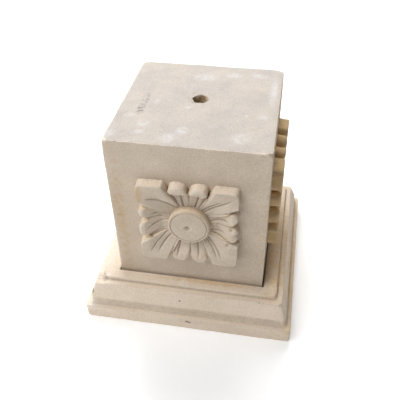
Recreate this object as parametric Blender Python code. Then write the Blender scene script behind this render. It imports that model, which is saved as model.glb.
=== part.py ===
"""Stone pedestal: a square block with a leaf flower carved on each side, standing in a moulded base.

Metres, +Z up, front towards -Y. The origin is the middle of the base's underside.
"""
import math

import bmesh
import bpy
from mathutils import Matrix, Vector

# Base: overall size and the heights of its members, from the floor up
BASE_WIDTH = 0.2916
BASE_DEPTH = 0.2844
PLINTH_HEIGHT = 0.0227
COVE_HEIGHT = 0.0115
SPLAY_LIP = 0.0010
SPLAY_HEIGHT = 0.0236
FILLET_HEIGHT = 0.0056

# Base: how far each member of the moulding stands back from the one below it
PLINTH_LEDGE = 0.0050
COVE_RUN = 0.0032
COVE_SETBACK = 0.0011
SPLAY_RUN = 0.0078
UPPER_LEDGE = 0.0087
COVE_STEPS = 6
BASE_WORN_EDGE = 0.0014
BASE_CORNER_RADIUS = 0.0025

# Block, and the shallow recess of the base that it stands in
BLOCK_WIDTH = 0.2000
BLOCK_DEPTH = 0.2008
BLOCK_RISE = 0.2213
BLOCK_WORN_EDGE = 0.0013
BLOCK_CORNER_RADIUS = 0.0015
BLOCK_TURN = math.radians(-0.17)
RECESS_DEPTH = 0.0120
RECESS_CLEARANCE = 0.0021
RECESS_PLACE = (0.0012, -0.0013)
BLOCK_SHIFT = (0.0005, -0.0002)
SEAT_GAP = 0.0003

# Drilled hole in the top of the block, a little behind its middle
HOLE_DIAMETER = 0.0200
HOLE_DEPTH = 0.0600
HOLE_PLACE = (-0.0006, 0.0070)
HOLE_SIDES = 24

# Flower panel, as it stands proud of a side of the block
PANEL_WIDTH = 0.1275
PANEL_HEIGHT = 0.1240
PANEL_RELIEF = 0.0136
PANEL_MIDDLE_RISE = 0.1072
PANEL_ROOT = 0.0030

# Boss in the middle of the flower
BOSS_DIAMETER = 0.0505
BOSS_RELIEF = 0.0138
BOSS_SHOULDER = 0.0020
BOSS_CROWN = 0.0010
BOSS_RING = 0.0021
BOSS_RING_DEPTH = 0.0007
DIMPLE_DIAMETER = 0.0052
DIMPLE_DEPTH = 0.0013
BOSS_SIDES = 28

# Outline of the flower: round lobes either side of each axis, and square leaves in the corners
LOBE_ANGLE = math.radians(26)
CORNER_SQUARENESS = 18
NOTCH_SHARE = 0.20
LEAF_SHOULDER = 0.14

# Heights and depths of the carving, as shares of the panel's relief
DISH_SHARE = 0.42
VALLEY_SHARE = 0.40
VALLEY_SHARE_AT_BOSS = 0.10
VEIN_SHARE = 0.14
TIP_SHARE = 0.10

# Places along a petal, as shares of its length from the boss
RISE_END = 0.80
VEIN_END = 0.86
TIP_START = 0.68
PETAL_RINGS = (0.00, 0.22, 0.46, 0.68, 0.86, 1.00)

# Places across a petal, as shares of its angle
LOBE_VEINS = (0.50,)
LEAF_VEINS = (0.42, 0.58)
LOBE_CUTS = (0.00, 0.14, 0.30, 0.42, 0.50, 0.58, 0.70, 0.86)
LEAF_CUTS = (0.00, 0.04, 0.15, 0.34, 0.42, 0.50, 0.58, 0.66, 0.85, 0.96)
VEIN_HALF_WIDTH = 0.06
VALLEY_HALF_WIDTH = 0.12

# Sides of the block: name, turn about the vertical, shift along the side, and whether it is veined
SIDES = (
    ("front", 0, 0.0020, True),
    ("right", 90, 0.0000, True),
    ("back", 180, 0.0000, False),
    ("left", 270, 0.0000, False),
)

# Sizes that follow from the ones above
COVE_FOOT = PLINTH_LEDGE
COVE_TOP = COVE_FOOT + COVE_RUN
SPLAY_FOOT = COVE_TOP - COVE_SETBACK
SPLAY_TOP = SPLAY_FOOT + SPLAY_RUN
SLAB_INSET = SPLAY_TOP + UPPER_LEDGE
COVE_TOP_Z = PLINTH_HEIGHT + COVE_HEIGHT
SPLAY_FOOT_Z = COVE_TOP_Z + SPLAY_LIP
SPLAY_TOP_Z = SPLAY_FOOT_Z + SPLAY_HEIGHT
BASE_HEIGHT = SPLAY_TOP_Z + FILLET_HEIGHT
RECESS_FLOOR_Z = BASE_HEIGHT - RECESS_DEPTH
BLOCK_FOOT_Z = RECESS_FLOOR_Z + SEAT_GAP
BLOCK_TOP_Z = BASE_HEIGHT + BLOCK_RISE
BLOCK_X = RECESS_PLACE[0] + BLOCK_SHIFT[0]
BLOCK_Y = RECESS_PLACE[1] + BLOCK_SHIFT[1]
OVERCUT = 0.01
CORNER_STEPS = 3
SHARP_ANGLE = math.radians(25)

STONE_COLOUR = (0.56, 0.48, 0.385, 1.0)
STONE_ROUGHNESS = 0.85


def clear_scene():
    """Remove every object that the file opens with."""
    for thing in list(bpy.data.objects):
        bpy.data.objects.remove(thing, do_unlink=True)


def stone(name):
    """Pale fine-grained stone, one material for each piece."""
    material = bpy.data.materials.new(name)
    material.use_nodes = True
    shader = material.node_tree.nodes["Principled BSDF"]
    shader.inputs["Base Color"].default_value = STONE_COLOUR
    shader.inputs["Roughness"].default_value = STONE_ROUGHNESS
    shader.inputs["Metallic"].default_value = 0.0
    return material


def link(name, bm):
    """Turn a bmesh into an object of the scene, with its faces pointing outwards."""
    bmesh.ops.recalc_face_normals(bm, faces=bm.faces)
    mesh = bpy.data.meshes.new(name)
    bm.to_mesh(mesh)
    bm.free()
    thing = bpy.data.objects.new(name, mesh)
    bpy.context.scene.collection.objects.link(thing)
    return thing


def guide(thing, parent):
    """Mark an object as one that only shapes another, which it follows."""
    thing.hide_render = True
    thing.display_type = "WIRE"
    thing.parent = parent


def combine(target, other, operation):
    """Cut one solid with another, or join the two into one."""
    modifier = target.modifiers.new(other.name, "BOOLEAN")
    modifier.operation = operation
    modifier.solver = "EXACT"
    modifier.object = other


def box(name, size, low_z):
    """A box centred on its object's origin, with its underside at low_z."""
    bm = bmesh.new()
    move = Matrix.Translation((0, 0, low_z + size[2] / 2))
    bmesh.ops.create_cube(bm, size=1.0, matrix=move @ Matrix.Diagonal((*size, 1.0)))
    return link(name, bm)


def skin_rings(bm, rings):
    """Bridge rings that have as many points each, and close the first and the last with a face."""
    verts = [[bm.verts.new(point) for point in ring] for ring in rings]
    count = len(verts[0])
    for low, high in zip(verts, verts[1:]):
        for i in range(count):
            j = (i + 1) % count
            bm.faces.new((low[i], low[j], high[j], high[i]))
    bm.faces.new(list(reversed(verts[0])))
    bm.faces.new(verts[-1])


def worn(profile, width):
    """Round each sharp corner of a profile with a short curve that starts the given width before it."""
    points = [Vector(point) for point in profile]
    rounded = [points[0]]
    for before, corner, after in zip(points, points[1:], points[2:]):
        arrive = corner - before
        leave = after - corner
        if arrive.angle(leave) > SHARP_ANGLE:
            cut = min(width, 0.45 * arrive.length, 0.45 * leave.length)
            start = corner - arrive.normalized() * cut
            end = corner + leave.normalized() * cut
            rounded += [start, (start + end) / 4 + corner / 2, end]
        else:
            rounded.append(corner)
    return rounded + [points[-1]]


def squared_ring(half_x, half_y, radius, z):
    """A level rectangle whose four corners are rounded, as a ring of points."""
    ring = []
    for quarter in range(4):
        across = half_x - radius if quarter in (0, 3) else radius - half_x
        along = half_y - radius if quarter in (0, 1) else radius - half_y
        for step in range(CORNER_STEPS + 1):
            turn = math.pi / 2 * (quarter + step / CORNER_STEPS)
            ring.append((across + radius * math.cos(turn), along + radius * math.sin(turn), z))
    return ring


def squared_solid(name, size_x, size_y, profile, radius):
    """A square stone whose sides follow a profile of insets and heights."""
    bm = bmesh.new()
    rings = [squared_ring(size_x / 2 - inset, size_y / 2 - inset, radius, z) for inset, z in profile]
    skin_rings(bm, rings)
    return link(name, bm)


def moulding():
    """The base's profile from the floor up, as pairs of inset from the plinth's face and height."""
    profile = [(2 * BASE_WORN_EDGE, 0), (0, 0), (0, PLINTH_HEIGHT)]
    for step in range(COVE_STEPS + 1):
        turn = math.pi / 2 * step / COVE_STEPS
        inset = COVE_FOOT + COVE_RUN * math.sin(turn)
        profile.append((inset, PLINTH_HEIGHT + COVE_HEIGHT * (1 - math.cos(turn))))
    profile += [(SPLAY_FOOT, SPLAY_FOOT_Z), (SPLAY_TOP, SPLAY_TOP_Z)]
    profile += [(SLAB_INSET, SPLAY_TOP_Z), (SLAB_INSET, BASE_HEIGHT)]
    profile.append((SLAB_INSET + 2 * BASE_WORN_EDGE, BASE_HEIGHT))
    return worn(profile, BASE_WORN_EDGE)


def make_base():
    """The moulded base, mitred at its corners, with the recess for the block cut in its top."""
    base = squared_solid("base", BASE_WIDTH, BASE_DEPTH, moulding(), BASE_CORNER_RADIUS)
    base.data.materials.append(stone("base stone"))
    size = (BLOCK_WIDTH + 2 * RECESS_CLEARANCE, BLOCK_DEPTH + 2 * RECESS_CLEARANCE, RECESS_DEPTH + OVERCUT)
    recess = box("recess cutter", size, RECESS_FLOOR_Z)
    recess.location = (*RECESS_PLACE, 0)
    guide(recess, base)
    combine(base, recess, "DIFFERENCE")
    return base


def petals():
    """Each petal of the flower as its first angle, its width and whether it is a corner leaf."""
    found = []
    for quarter in range(4):
        start = quarter * math.pi / 2
        leaf = math.pi / 2 - 2 * LOBE_ANGLE
        found.append((start, LOBE_ANGLE, False))
        found.append((start + LOBE_ANGLE, leaf, True))
        found.append((start + LOBE_ANGLE + leaf, LOBE_ANGLE, False))
    return found


def square_reach(angle):
    """Distance from the panel's middle to its nearly square outline."""
    across = abs(math.cos(angle)) / (PANEL_WIDTH / 2)
    along = abs(math.sin(angle)) / (PANEL_HEIGHT / 2)
    return (across ** CORNER_SQUARENESS + along ** CORNER_SQUARENESS) ** (-1 / CORNER_SQUARENESS)


def notch(place, leaf):
    """Share of the reach that is left at a place across a petal: lobes are round, leaves square."""
    if leaf:
        shoulder = min(place, 1 - place) / LEAF_SHOULDER
        full = math.sqrt(math.sin(math.pi / 2 * min(shoulder, 1)))
    else:
        full = math.sqrt(math.sin(math.pi * place))
    return 1 - NOTCH_SHARE * (1 - full)


def groove(distance, half_width):
    """A V-shaped cut: 1 on its line, 0 beyond its half width."""
    return max(0.0, 1 - distance / half_width)


def relief(place, outward, leaf, veined):
    """Height of a petal over the block's side, as a share of the relief."""
    rise = math.sin(math.pi / 2 * min(outward / RISE_END, 1)) ** 2
    height = DISH_SHARE + (1 - DISH_SHARE) * rise
    valley = VALLEY_SHARE_AT_BOSS + (VALLEY_SHARE - VALLEY_SHARE_AT_BOSS) * outward
    height -= valley * groove(min(place, 1 - place), VALLEY_HALF_WIDTH)
    if veined:
        vein = VEIN_SHARE * math.sin(math.pi * min(outward / VEIN_END, 1))
        lines = LEAF_VEINS if leaf else LOBE_VEINS
        height -= vein * max(groove(abs(place - line), VEIN_HALF_WIDTH) for line in lines)
    if not leaf:
        height -= TIP_SHARE * max(0.0, (outward - TIP_START) / (1 - TIP_START))
    return height


def make_flower(name, veined):
    """The flower without its boss, facing -Y, with its root reaching back into the block."""
    spokes = []
    for start, width, leaf in petals():
        for place in (LEAF_CUTS if leaf else LOBE_CUTS):
            angle = start + width * place
            spokes.append((angle, place, leaf, square_reach(angle) * notch(place, leaf)))
    inner = BOSS_DIAMETER / 2 - BOSS_SHOULDER
    outline = [(math.cos(angle) * reach, math.sin(angle) * reach) for angle, _, _, reach in spokes]
    rings = [[(x, PANEL_ROOT, z) for x, z in outline]]
    for outward in reversed(PETAL_RINGS):
        ring = []
        for angle, place, leaf, reach in spokes:
            radius = inner + (reach - inner) * outward
            height = relief(place, outward, leaf, veined) * PANEL_RELIEF
            ring.append((math.cos(angle) * radius, -height, math.sin(angle) * radius))
        rings.append(ring)
    bm = bmesh.new()
    skin_rings(bm, rings)
    return link(name, bm)


def make_boss(name):
    """The round boss, turned from its profile: dimple, gently crowned face, ring line and shoulder."""
    radius = BOSS_DIAMETER / 2
    ring = radius - BOSS_RING
    face = BOSS_RELIEF - BOSS_CROWN
    profile = [
        (radius, 0),
        (radius, face - BOSS_SHOULDER),
        (radius - BOSS_SHOULDER / 3, face - BOSS_SHOULDER / 3),
        (ring + BOSS_RING / 4, face),
        (ring, face - BOSS_RING_DEPTH),
        (ring - BOSS_RING / 4, face),
        (radius / 2, face + BOSS_CROWN * 0.75),
        (DIMPLE_DIAMETER / 2, BOSS_RELIEF),
        (DIMPLE_DIAMETER / 6, BOSS_RELIEF - DIMPLE_DEPTH),
    ]
    rings = []
    for r, height in profile:
        turns = [2 * math.pi * i / BOSS_SIDES for i in range(BOSS_SIDES)]
        rings.append([(r * math.cos(turn), -height, r * math.sin(turn)) for turn in turns])
    bm = bmesh.new()
    skin_rings(bm, rings)
    return link(name, bm)


def make_block():
    """The dressed block with a flower panel on each side and the drilled hole in its top."""
    ease = 2 * BLOCK_WORN_EDGE
    profile = [(ease, BLOCK_FOOT_Z), (0, BLOCK_FOOT_Z), (0, BLOCK_TOP_Z), (ease, BLOCK_TOP_Z)]
    profile = worn(profile, BLOCK_WORN_EDGE)
    block = squared_solid("block", BLOCK_WIDTH, BLOCK_DEPTH, profile, BLOCK_CORNER_RADIUS)
    block.data.materials.append(stone("block stone"))
    block.location = (BLOCK_X, BLOCK_Y, 0)
    block.rotation_euler = (0, 0, BLOCK_TURN)
    for name, turn, shift, veined in SIDES:
        reach = BLOCK_DEPTH / 2 if turn % 180 == 0 else BLOCK_WIDTH / 2
        spin = Matrix.Rotation(math.radians(turn), 4, "Z")
        place = spin @ Matrix.Translation((shift, -reach, BASE_HEIGHT + PANEL_MIDDLE_RISE))
        for carving in (make_flower(name + " flower", veined), make_boss(name + " boss")):
            guide(carving, block)
            carving.matrix_basis = place
            combine(block, carving, "UNION")
    bm = bmesh.new()
    middle = Matrix.Translation((*HOLE_PLACE, BLOCK_TOP_Z))
    radius = HOLE_DIAMETER / 2
    bmesh.ops.create_cone(bm, cap_ends=True, segments=HOLE_SIDES, radius1=radius, radius2=radius,
                          depth=2 * HOLE_DEPTH, matrix=middle)
    hole = link("hole cutter", bm)
    guide(hole, block)
    combine(block, hole, "DIFFERENCE")
    return block


clear_scene()
make_base()
make_block()
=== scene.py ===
# %% [markdown]
# # A carved stone pedestal
#
# The pedestal is two stones. A square block, with a leaf flower carved on each side, stands in a
# shallow recess in the top of a moulded base. The frame below is the measured model, and
# everything in this lesson is modelled round it, in metres, with the floor at z = 0 and the front
# towards -Y.

# %% Load the measured frame
import itertools
import math

import bmesh
import bpy
import numpy as np
from mathutils import Matrix, Vector


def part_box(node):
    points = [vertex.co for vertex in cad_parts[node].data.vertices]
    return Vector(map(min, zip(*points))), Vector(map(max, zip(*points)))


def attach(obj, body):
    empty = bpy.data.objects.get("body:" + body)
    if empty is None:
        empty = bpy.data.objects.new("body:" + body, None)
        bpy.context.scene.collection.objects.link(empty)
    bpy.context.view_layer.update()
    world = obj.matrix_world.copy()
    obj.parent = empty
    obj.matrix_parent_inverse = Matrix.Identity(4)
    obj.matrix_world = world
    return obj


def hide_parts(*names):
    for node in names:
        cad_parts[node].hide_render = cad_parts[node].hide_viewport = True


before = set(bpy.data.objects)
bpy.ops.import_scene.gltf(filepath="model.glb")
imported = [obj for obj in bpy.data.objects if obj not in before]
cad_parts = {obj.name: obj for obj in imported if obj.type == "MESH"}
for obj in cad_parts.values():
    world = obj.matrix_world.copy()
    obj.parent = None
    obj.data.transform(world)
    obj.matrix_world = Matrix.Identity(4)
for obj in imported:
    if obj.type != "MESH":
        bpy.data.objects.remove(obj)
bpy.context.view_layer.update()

base_low, base_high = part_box("base")
block_low, block_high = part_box("block")

# %% [markdown]
# ## The camera
#
# A product photograph of a small pedestal is often taken from above, so that the top shows. The
# camera here stands at the photographer's place. It could be aimed with a constraint, but three
# angles say the same thing plainly: the turn, the tilt down, and the slight roll of a camera held
# by hand. The lens follows from how many picture widths away its focal point lies.

# %% Place the camera
CAMERA_PLACE = (0.1112, -0.5894, 0.6398)
CAMERA_TURN = math.radians(-10.88)
CAMERA_TILT = math.radians(40.94)
CAMERA_ROLL = math.radians(-1.36)
FOCAL_PIXELS = 539.9
PICTURE_PIXELS = 400
SENSOR_WIDTH = 36.0


def place_camera():
    """Stand a camera at the photographer's place and make it the scene's camera."""
    forward = Vector((math.sin(CAMERA_TURN) * math.cos(CAMERA_TILT),
                      math.cos(CAMERA_TURN) * math.cos(CAMERA_TILT),
                      -math.sin(CAMERA_TILT)))
    level = Vector((math.cos(CAMERA_TURN), -math.sin(CAMERA_TURN), 0))
    upright = level.cross(forward)
    right = math.cos(CAMERA_ROLL) * level + math.sin(CAMERA_ROLL) * upright
    up = math.cos(CAMERA_ROLL) * upright - math.sin(CAMERA_ROLL) * level
    data = bpy.data.cameras.new("camera")
    data.sensor_width = SENSOR_WIDTH
    data.lens = FOCAL_PIXELS / PICTURE_PIXELS * SENSOR_WIDTH
    camera = bpy.data.objects.new("camera", data)
    facing = Matrix((right, up, -forward)).transposed().to_4x4()
    camera.matrix_world = Matrix.Translation(CAMERA_PLACE) @ facing
    bpy.context.scene.collection.objects.link(camera)
    bpy.context.scene.camera = camera
    return camera


camera = place_camera()
print("lens:", round(camera.data.lens, 1), "mm")

# %% [markdown]
# ## Unevenness
#
# Stone cut by hand is never quite flat, and its arrises wear unevenly. Blender has noise textures
# for that, but they only paint or displace at render time. Here the unevenness has to be in the
# mesh, so a small noise is written with numpy: random numbers on a lattice, blended smoothly
# between its points. A fixed seed gives the same stone every time.

# %% Noise, ramps and points
LATTICE = 32


def eased(part):
    """A share from 0 to 1, made to start and end gently."""
    return part * part * (3 - 2 * part)


def unevenness(points, cell, seed):
    """Smooth noise from -1 to 1 at each point, which changes over about one cell."""
    table = np.random.default_rng(seed).uniform(-1, 1, (LATTICE,) * 3)
    scaled = points / cell
    low = np.floor(scaled).astype(int)
    part = eased(scaled - low)
    total = np.zeros(len(points))
    for corner in itertools.product((0, 1), repeat=3):
        weight = np.prod(np.where(corner, part, 1 - part), axis=1)
        i, j, k = ((low + corner) % LATTICE).T
        total += weight * table[i, j, k]
    return total


def ramp(values, start, width):
    """0 up to the start, then rising to 1 over the width."""
    return np.clip((values - start) / width, 0, 1)


def fade(distance, far):
    """1 on the spot, falling to 0 where it is far."""
    return np.clip(1 - distance / far, 0, 1)


def evenly_round(count):
    """Angles evenly spaced round a full turn."""
    return np.arange(count) * 2 * math.pi / count


def points_of(mesh):
    """The mesh's vertices as an array, one row each."""
    flat = np.empty(len(mesh.vertices) * 3)
    mesh.vertices.foreach_get("co", flat)
    return flat.reshape(-1, 3)


def normals_of(mesh):
    """The direction that the surface faces at each vertex."""
    flat = np.empty(len(mesh.vertices) * 3)
    mesh.vertex_normals.foreach_get("vector", flat)
    return flat.reshape(-1, 3)


def put_points(mesh, points):
    """Move the mesh's vertices to the rows of an array."""
    mesh.vertices.foreach_set("co", points.ravel())
    mesh.update()


print("noise at the origin:", unevenness(np.zeros((1, 3)), 0.01, 1).round(3))

# %% [markdown]
# ## Wear
#
# A sharp arris loses its edge first where it is touched, knocked or rubbed. A bevel would round
# it evenly. Smoothing a copy of the mesh and then mixing the two by noise rounds it by a
# different amount at each place, and leaves the flat faces as they are, because a flat face is
# already smooth. A knock is a dent at a chosen place, pushed in against the way the surface
# faces.

# %% Wear, dressing and knocks
BROAD_WEAR = 0.7
FINE_WEAR = 0.5
KNOCK_CURVE = 1.3
KNOCK_GRAIN = 0.0018
KNOCK_ROUGHNESS = (0.8, 0.3)


def smoothed(mesh, points, passes):
    """Points moved again and again to the middle of their neighbours."""
    edges = np.empty(len(mesh.edges) * 2, dtype=int)
    mesh.edges.foreach_get("vertices", edges)
    a, b = edges.reshape(-1, 2).T
    count = len(points)
    neighbours = (np.bincount(a, minlength=count) + np.bincount(b, minlength=count))[:, None]
    for _ in range(passes):
        total = np.zeros_like(points)
        for axis in range(3):
            total[:, axis] += np.bincount(a, points[b, axis], minlength=count)
            total[:, axis] += np.bincount(b, points[a, axis], minlength=count)
        points = total / neighbours
    return points


def wear(mesh, passes, least, most, cell, seed):
    """Mix a mesh with its smoothed self, between least and most, as the noise says."""
    points = points_of(mesh)
    share = unevenness(points, cell, seed) * BROAD_WEAR
    share += unevenness(points, cell / 4, seed + 1) * FINE_WEAR
    share = least + (most - least) * np.clip(share * 0.5 + 0.5, 0, 1)
    put_points(mesh, points + (smoothed(mesh, points, passes) - points) * share[:, None])


def dress(mesh, depth, cells, seed):
    """Sink the faces unevenly against their normals, as a hand-dressed stone is."""
    points = points_of(mesh)
    rough = sum(unevenness(points, cell, seed + i) for i, cell in enumerate(cells)) / len(cells)
    put_points(mesh, points - normals_of(mesh) * (depth * (0.5 + 0.5 * rough))[:, None])


def knock(mesh, places, seed):
    """Dent a mesh at each place, given as (x, y, z), radius and depth."""
    points = points_of(mesh)
    for place, radius, depth in places:
        away = np.linalg.norm(points - place, axis=1) / radius
        noise = unevenness(points, max(KNOCK_GRAIN, radius / 2), seed)
        rough = KNOCK_ROUGHNESS[0] + KNOCK_ROUGHNESS[1] * noise
        dent = depth * fade(away * away, 1) ** KNOCK_CURVE * rough
        points = points - normals_of(mesh) * dent[:, None]
    put_points(mesh, points)


def link(name, mesh):
    """Put a mesh into the scene as an object at the origin."""
    thing = bpy.data.objects.new(name, mesh)
    bpy.context.scene.collection.objects.link(thing)
    return thing


def mesh_from(name, bm):
    """Point a bmesh's faces outwards and turn it into a mesh."""
    bmesh.ops.recalc_face_normals(bm, faces=bm.faces)
    mesh = bpy.data.meshes.new(name)
    bm.to_mesh(mesh)
    bm.free()
    return mesh


print("wear is ready")

# %% [markdown]
# ## Where shade and dirt are painted
#
# Hollows are painted darker, as painted shade together with some dirt, and arrises are rubbed
# pale. How hollow a place is follows from the same smoothing: in a hollow, the smoothed surface
# lies outside the real one. The result is kept on the mesh as a named attribute, which the stone's
# material reads. An ambient occlusion node could find hollows too, but it has to trace rays each
# time, and an attribute is worked out once.

# %% Write attributes on a mesh
def paint(mesh, name, values):
    """Keep one number for each vertex under a name."""
    layer = mesh.attributes.get(name) or mesh.attributes.new(name, "FLOAT", "POINT")
    layer.data.foreach_set("value", np.asarray(values, dtype=np.float32))


def painted(mesh, name):
    """The numbers kept under a name, or zeros where there are none."""
    values = np.zeros(len(mesh.vertices), dtype=np.float32)
    if name in mesh.attributes:
        mesh.attributes[name].data.foreach_get("value", values)
    return values


def hollowness(mesh, passes, full):
    """How hollow (up to 1) or how exposed (down to -1) the surface is at each vertex."""
    points = points_of(mesh)
    lifted = np.einsum("ij,ij->i", smoothed(mesh, points, passes) - points, normals_of(mesh))
    return np.clip(lifted / full, -1, 1)


print("attributes are ready")

# %% [markdown]
# ## The profile of the base
#
# A mason cuts a moulding to a template: plinth, cove, splay, ledge and fillet. The template is a
# line of points, each with its inset from the plinth's face and its height. The cove is a quarter
# of an ellipse, worked out by a formula, and the rest are corners. Extra points are then put
# along every stretch, so that wear has something to move.

# %% Draw the mason's template
BASE_WIDTH = base_high.x - base_low.x
BASE_DEPTH = base_high.y - base_low.y
BASE_TOP = base_high.z
PLINTH_HEIGHT = 0.0227
COVE_HEIGHT = 0.0115
SPLAY_LIP = 0.0010
FILLET_HEIGHT = 0.0056
PLINTH_LEDGE = 0.0050
COVE_RUN = 0.0032
COVE_SETBACK = 0.0011
SPLAY_RUN = 0.0078
UPPER_LEDGE = 0.0087
COVE_STEPS = 8
UNDERSIDE_MARGIN = 0.004
TOP_MARGIN = 0.022
TEMPLATE_SPACING = 0.0011


def template_corners():
    """The profile's corners from the underside up and in over the top, as inset and height."""
    cove_top = PLINTH_LEDGE + COVE_RUN
    splay_foot = cove_top - COVE_SETBACK
    splay_top = splay_foot + SPLAY_RUN
    slab = splay_top + UPPER_LEDGE
    corners = [(UNDERSIDE_MARGIN, 0), (0, 0), (0, PLINTH_HEIGHT)]
    for step in range(COVE_STEPS + 1):
        turn = math.pi / 2 * step / COVE_STEPS
        corners.append((PLINTH_LEDGE + COVE_RUN * math.sin(turn),
                        PLINTH_HEIGHT + COVE_HEIGHT * (1 - math.cos(turn))))
    corners.append((splay_foot, PLINTH_HEIGHT + COVE_HEIGHT + SPLAY_LIP))
    corners.append((splay_top, BASE_TOP - FILLET_HEIGHT))
    corners.append((slab, BASE_TOP - FILLET_HEIGHT))
    corners.append((slab, BASE_TOP))
    corners.append((slab + TOP_MARGIN, BASE_TOP))
    return corners


def fill_in(corners, spacing):
    """Put evenly spaced points along each stretch between corners."""
    points = []
    for start, end in zip(corners, corners[1:]):
        start, end = Vector(start), Vector(end)
        steps = max(1, round((end - start).length / spacing))
        points += [start.lerp(end, step / steps) for step in range(steps)]
    return points + [Vector(corners[-1])]


template = fill_in(template_corners(), TEMPLATE_SPACING)
print("template points:", len(template))

# %% [markdown]
# ## Running the moulding round
#
# The moulding keeps its profile all the way round, so it follows a rule, and Geometry Nodes are
# made for that. The tree lays a grid whose one side is the way round and whose other side is the
# template. A rectangle with filleted corners gives the way round. Each grid point takes its
# height and inset from the template, and its place from the rectangle, drawn in by the inset,
# which mitres the corners by itself. The same could be done with a curve's bevel object, but a
# bevel pinches at a mitre.

# %% Build the moulding tree
CORNER_RADIUS = 0.0026
WAY_ROUND_POINTS = 600
MERGE_DISTANCE = 0.00002


def new_tree(name, inputs):
    """A Geometry Nodes tree with a geometry in, the named inputs, and a geometry out."""
    tree = bpy.data.node_groups.new(name, "GeometryNodeTree")
    tree.interface.new_socket("Geometry", in_out="INPUT", socket_type="NodeSocketGeometry")
    for label, kind in inputs:
        tree.interface.new_socket(label, in_out="INPUT", socket_type="NodeSocket" + kind)
    tree.interface.new_socket("Geometry", in_out="OUTPUT", socket_type="NodeSocketGeometry")
    return tree


def add_node(tree, kind, links=None, **settings):
    """Add a node, set it up, and put sockets or values into its inputs, named or numbered."""
    node = tree.nodes.new(kind)
    for key, value in settings.items():
        setattr(node, key, value)
    for key, source in (links or {}).items():
        if isinstance(source, bpy.types.NodeSocket):
            tree.links.new(source, node.inputs[key])
        else:
            node.inputs[key].default_value = source
    return node


def calculate(tree, operation, *sources):
    """One step of arithmetic, as a Math node, and its result."""
    node = add_node(tree, "ShaderNodeMath", dict(enumerate(sources)), operation=operation)
    return node.outputs[0]


def split(tree, vector):
    """The three parts of a vector, by letter."""
    return add_node(tree, "ShaderNodeSeparateXYZ", {0: vector}).outputs


def combine(tree, *parts):
    """A vector made of its three parts."""
    return add_node(tree, "ShaderNodeCombineXYZ", dict(enumerate(parts))).outputs[0]


def finish_tree(tree, geometry, material):
    """Realise instances, give the material and send the geometry out."""
    real = add_node(tree, "GeometryNodeRealizeInstances", {"Geometry": geometry})
    coated = add_node(tree, "GeometryNodeSetMaterial",
                      {"Geometry": real.outputs[0], "Material": material})
    add_node(tree, "NodeGroupOutput", {0: coated.outputs[0]})


def moulding_tree():
    """Run a template, given as a line of points, round a rectangle."""
    tree = new_tree("run the moulding round", [
        ("Width", "Float"), ("Depth", "Float"), ("Corner", "Float"),
        ("Points round", "Int"), ("Points up", "Int"), ("Merge", "Float"),
        ("Material", "Material")])
    given = tree.nodes.new("NodeGroupInput").outputs
    grid = add_node(tree, "GeometryNodeMeshGrid", {
        "Size X": 1.0, "Size Y": 1.0,
        "Vertices X": given["Points round"], "Vertices Y": given["Points up"]})
    place = split(tree, tree.nodes.new("GeometryNodeInputPosition").outputs[0])
    way_round = calculate(tree, "ADD", place["X"], 0.5)
    way_up = calculate(tree, "ADD", place["Y"], 0.5)
    line = add_node(tree, "GeometryNodeMeshToCurve", {"Mesh": given["Geometry"]})
    profile = add_node(tree, "GeometryNodeSampleCurve",
                       {"Curves": line.outputs[0], "Factor": way_up}, mode="FACTOR")
    inset = split(tree, profile.outputs["Position"])
    square = add_node(tree, "GeometryNodeCurvePrimitiveQuadrilateral",
                      {"Width": given["Width"], "Height": given["Depth"]})
    rounded = add_node(tree, "GeometryNodeFilletCurve",
                       {"Curve": square.outputs[0], "Radius": given["Corner"], "Count": 4},
                       mode="POLY")
    path = add_node(tree, "GeometryNodeSampleCurve",
                    {"Curves": rounded.outputs[0], "Factor": way_round}, mode="FACTOR")
    spot = split(tree, path.outputs["Position"])
    drawn_in = []
    for axis, size in (("X", "Width"), ("Y", "Depth")):
        twice = calculate(tree, "MULTIPLY", inset["X"], 2.0)
        share = calculate(tree, "DIVIDE", twice, given[size])
        left = calculate(tree, "SUBTRACT", 1.0, share)
        drawn_in.append(calculate(tree, "MULTIPLY", spot[axis], left))
    moved = add_node(tree, "GeometryNodeSetPosition", {
        "Geometry": grid.outputs["Mesh"], "Position": combine(tree, *drawn_in, inset["Z"])})
    sewn = add_node(tree, "GeometryNodeMergeByDistance",
                    {"Geometry": moved.outputs[0], "Distance": given["Merge"]})
    finish_tree(tree, sewn.outputs[0], given["Material"])
    return tree


def run_tree(name, tree, mesh, values):
    """Run a tree on a mesh with the given inputs and return the result as a plain mesh."""
    carrier = link(name + " line", mesh)
    modifier = carrier.modifiers.new(tree.name, "NODES")
    modifier.node_group = tree
    for item in tree.interface.items_tree:
        if item.in_out == "INPUT" and item.name in values:
            modifier[item.identifier] = values[item.name]
    evaluated = carrier.evaluated_get(bpy.context.evaluated_depsgraph_get())
    result = bpy.data.meshes.new_from_object(evaluated)
    result.name = name
    bpy.data.objects.remove(carrier)
    return result


def line_mesh(name, runs):
    """Edges along runs of points, as a mesh without faces."""
    verts, edges = [], []
    for run in runs:
        edges += [(len(verts) + i, len(verts) + i + 1) for i in range(len(run) - 1)]
        verts += [tuple(point) for point in run]
    mesh = bpy.data.meshes.new(name)
    mesh.from_pydata(verts, edges, [])
    return mesh


base_stone = bpy.data.materials.new("pale stone of the base")
block_stone = bpy.data.materials.new("pale stone of the block")
template_line = line_mesh("template", [[(inset, 0, z) for inset, z in template]])
base_mesh = run_tree("base", moulding_tree(), template_line, {
    "Width": BASE_WIDTH, "Depth": BASE_DEPTH, "Corner": CORNER_RADIUS,
    "Points round": WAY_ROUND_POINTS, "Points up": len(template), "Merge": MERGE_DISTANCE,
    "Material": base_stone})
print("moulding:", len(base_mesh.vertices), "vertices")

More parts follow.
